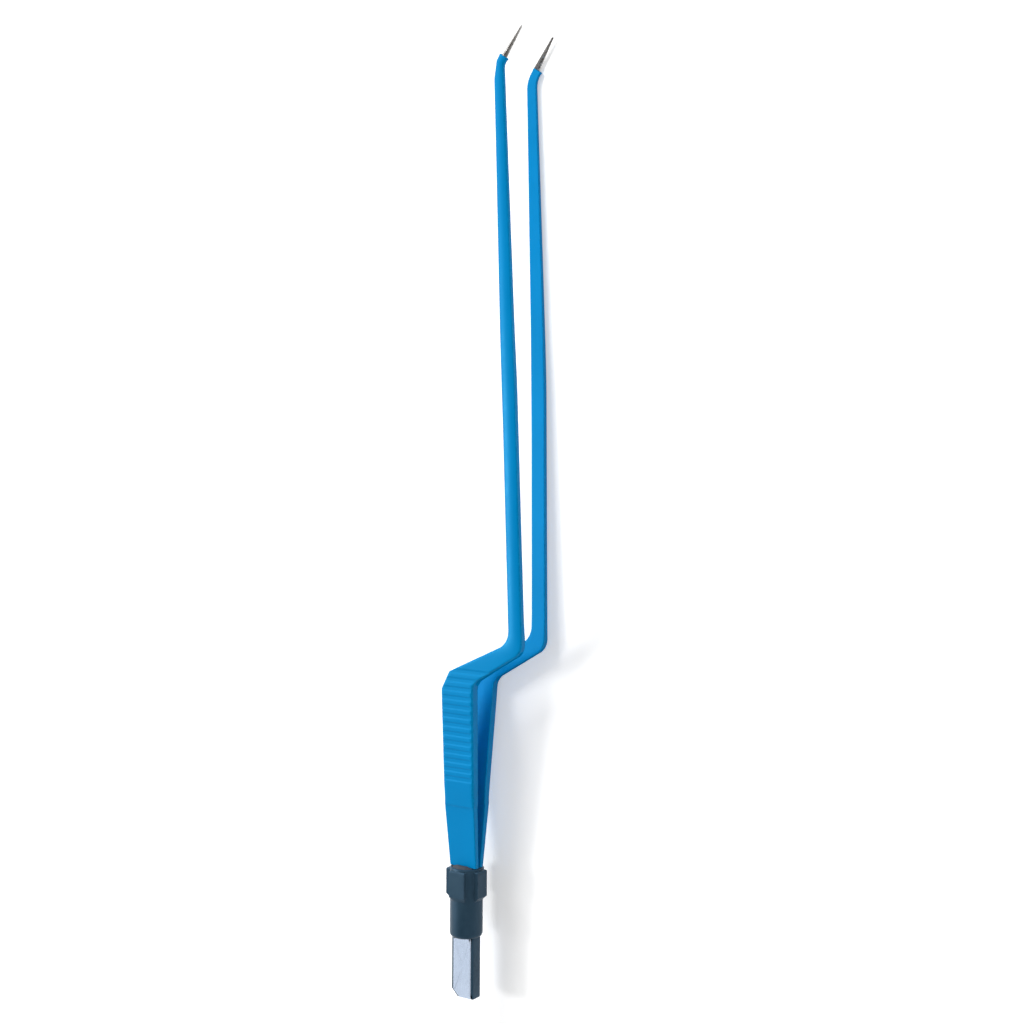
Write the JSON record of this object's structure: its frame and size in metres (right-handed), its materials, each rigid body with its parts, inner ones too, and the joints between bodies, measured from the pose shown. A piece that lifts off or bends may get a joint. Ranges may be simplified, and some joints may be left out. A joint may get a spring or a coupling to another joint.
{
  "type": "bipolar forceps",
  "caption": "Bayonet bipolar forceps with coated spring blades, serrated grips, upturned bare tips and a flat two-contact plug, lying on one blade.",
  "frame": {"origin": "centre of the bounding box's base, on the surface that the lower blade lies on", "axes": "+X from the plug end to the tips, +Z the squeeze direction, up; the blades are offset towards -Y"},
  "size_m": [0.25, 0.0262, 0.0164],
  "materials": {
    "steel": "polished bare steel at the tips",
    "coat": "satin blue nylon coat",
    "plug": "satin dark grey moulding",
    "contact": "bright flat contact strip",
    "seal": "hard brownish potting"
  },
  "bodies": {
    "plug": {"plug_body": "plug", "contact_upper": "contact", "contact_lower": "contact", "seal": "seal"},
    "upper": {"blade_upper": "steel", "coat_upper": "coat"},
    "lower": {"blade_lower": "steel", "coat_lower": "coat"}
  },
  "joints": [
    {"name": "upper_squeeze", "type": "hinge", "parent": "plug", "child": "upper", "pos_m": [-0.0935, 0.0079, 0.0092], "axis": [0, 1, 0], "range_deg": [0, 1.79], "stiffness_Nm_per_rad": 3.4},
    {"name": "lower_squeeze", "type": "hinge", "parent": "plug", "child": "lower", "pos_m": [-0.0935, 0.0079, 0.0072], "axis": [0, -1, 0], "range_deg": [0, 1.79], "stiffness_Nm_per_rad": 3.4}
  ]
}
